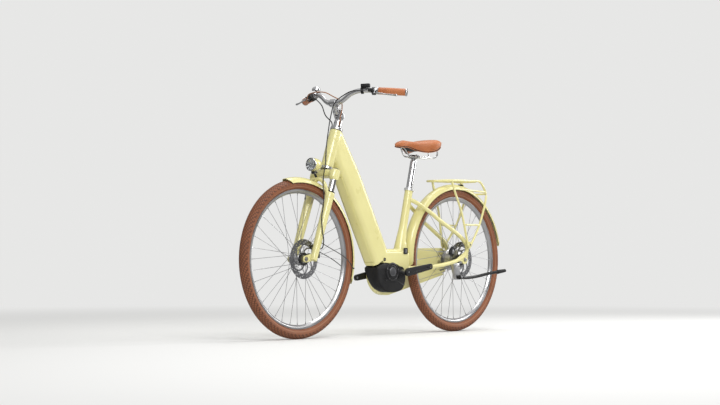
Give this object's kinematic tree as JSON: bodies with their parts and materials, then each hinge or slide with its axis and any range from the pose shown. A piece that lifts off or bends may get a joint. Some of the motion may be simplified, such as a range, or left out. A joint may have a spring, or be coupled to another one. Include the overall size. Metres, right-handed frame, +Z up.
{
  "type": "step through electric bike",
  "caption": "Step-through electric city bike with deep battery down tube, centre motor, chain case, full fenders, rear rack and swept handlebar.",
  "frame": {"origin": "on the ground, midway between the front of the front tyre and the rear end of the rear fender, in the bike's middle plane", "axes": "+X forward, +Y the rider's left, +Z up"},
  "size_m": [1.88, 0.6618, 1.1788],
  "materials": {
    "cream_paint": "gloss",
    "brown_tyre": "matte",
    "brown_leather": "satin",
    "silver": "satin",
    "steel": "brushed",
    "chrome": "polished",
    "black_metal": "satin",
    "black_plastic": "matte",
    "tan_cable": "satin",
    "clear_glass": "clear"
  },
  "bodies": {
    "frame": {"frame": "cream_paint", "battery": "cream_paint", "headset_lower": "silver", "stay_left": "cream_paint", "stay_right": "cream_paint", "motor": "black_plastic", "chain": "steel", "chain_case": "cream_paint", "rear_fender": "cream_paint", "rear_axle": "steel", "seat_clamp": "silver", "rack_top": "cream_paint", "rack_leg_left": "cream_paint", "rack_leg_right": "cream_paint", "kickstand_bracket": "silver", "rear_caliper": "black_metal"},
    "rear_wheel": {"rear_tyre": "brown_tyre", "rear_rim": "silver", "rear_hub": "silver", "rear_brake_disc": "steel"},
    "sprocket": {"sprocket": "steel"},
    "cranks": {"spindle": "steel", "chainring": "black_metal", "crank_left": "black_metal", "crank_right": "black_metal"},
    "seat": {"seat_post": "silver", "saddle_rails": "chrome", "saddle": "brown_leather"},
    "steering": {"headset_cover": "silver", "fork_crown": "cream_paint", "stem_base": "chrome", "shift_cable": "tan_cable", "rear_brake_hose": "black_plastic", "front_brake_hose": "black_plastic"},
    "fork_slider": {"fork_lowers": "cream_paint", "front_axle": "steel", "front_fender": "cream_paint", "front_caliper": "black_metal", "headlight_bracket": "black_metal"},
    "front_wheel": {"front_tyre": "brown_tyre", "front_rim": "silver", "front_hub": "silver", "front_brake_disc": "steel"},
    "lamp": {"headlight": "cream_paint", "headlight_lens": "clear_glass"},
    "bar": {"stem_arm": "chrome", "handlebar": "chrome", "grip_left": "brown_leather", "grip_right": "brown_leather", "brake_perch_left": "black_metal", "brake_perch_right": "black_metal", "display": "black_plastic", "bell": "chrome", "shifter": "black_plastic"},
    "lever_left": {"brake_lever_left": "silver"},
    "lever_right": {"brake_lever_right": "silver"},
    "twist": {"shift_twist": "brown_leather"},
    "striker": {"bell_striker": "black_plastic"},
    "stand": {"kickstand": "black_metal"},
    "charge_flap": {"charge_cover": "black_plastic"}
  },
  "joints": [
    {"name": "rear_wheel_spin", "type": "hinge", "parent": "frame", "child": "rear_wheel", "pos_m": [-0.56501, 0, 0.361], "axis": [0, 1, 0], "continuous": true},
    {"name": "crank_spin", "type": "hinge", "parent": "frame", "child": "cranks", "pos_m": [-0.09401, 0, 0.3], "axis": [0, 1, 0], "continuous": true},
    {"name": "sprocket_spin", "type": "hinge", "parent": "frame", "child": "sprocket", "pos_m": [-0.56501, 0, 0.361], "axis": [0, 1, 0], "continuous": true},
    {"name": "steering", "type": "hinge", "parent": "frame", "child": "steering", "pos_m": [0.32187, 0, 0.95807], "axis": [-0.342, 0, 0.9397], "range_deg": [-60, 60]},
    {"name": "fork_travel", "type": "slide", "parent": "steering", "child": "fork_slider", "axis": [-0.342, 0, 0.9397], "range_m": [0, 0.024], "stiffness_N_per_m": 9000, "springref_m": -0.03, "deforming": ["front_brake_hose"]},
    {"name": "front_wheel_spin", "type": "hinge", "parent": "fork_slider", "child": "front_wheel", "pos_m": [0.57899, 0, 0.361], "axis": [0, 1, 0], "continuous": true},
    {"name": "lamp_tilt", "type": "hinge", "parent": "fork_slider", "child": "lamp", "pos_m": [0.46998, 0, 0.75829], "axis": [0, 1, 0], "range_deg": [-15, 15]},
    {"name": "stem_tilt", "type": "hinge", "parent": "steering", "child": "bar", "pos_m": [0.29759, 0, 1.02479], "axis": [0, 1, 0], "range_deg": [-30, 30], "deforming": ["shift_cable", "rear_brake_hose", "front_brake_hose"]},
    {"name": "brake_left", "type": "hinge", "parent": "bar", "child": "lever_left", "pos_m": [0.29349, 0.21026, 1.12449], "axis": [0, 0, 1], "range_deg": [0, 15], "stiffness_Nm_per_rad": 3, "springref_deg": -11.46},
    {"name": "brake_right", "type": "hinge", "parent": "bar", "child": "lever_right", "pos_m": [0.29349, -0.21026, 1.12449], "axis": [0, 0, -1], "range_deg": [0, 15], "stiffness_Nm_per_rad": 3, "springref_deg": -11.46},
    {"name": "shift_turn", "type": "hinge", "parent": "bar", "child": "twist", "pos_m": [0.25906, -0.20189, 1.13677], "axis": [-0.4989, -0.8637, -0.0721], "range_deg": [-60, 60]},
    {"name": "bell_flick", "type": "hinge", "parent": "bar", "child": "striker", "pos_m": [0.2767, -0.1455, 1.1546], "axis": [0, 0, 1], "range_deg": [0, 25], "stiffness_Nm_per_rad": 0.05, "springref_deg": -5.73},
    {"name": "seat_height", "type": "slide", "parent": "frame", "child": "seat", "axis": [-0.2419, 0, 0.9703], "range_m": [-0.09, 0.03]},
    {"name": "kickstand_fold", "type": "hinge", "parent": "frame", "child": "stand", "pos_m": [-0.50701, 0.0868, 0.274], "axis": [-0.1721, 0.9746, 0.1431], "range_deg": [-105, 0]},
    {"name": "charge_flap", "type": "hinge", "parent": "frame", "child": "charge_flap", "pos_m": [-0.12901, 0.0483, 0.387], "axis": [1, 0, 0], "range_deg": [-100, 0]}
  ],
  "couplings": [
    {"joint": "sprocket_spin", "follows": "crank_spin", "ratio": 1.9}
  ]
}
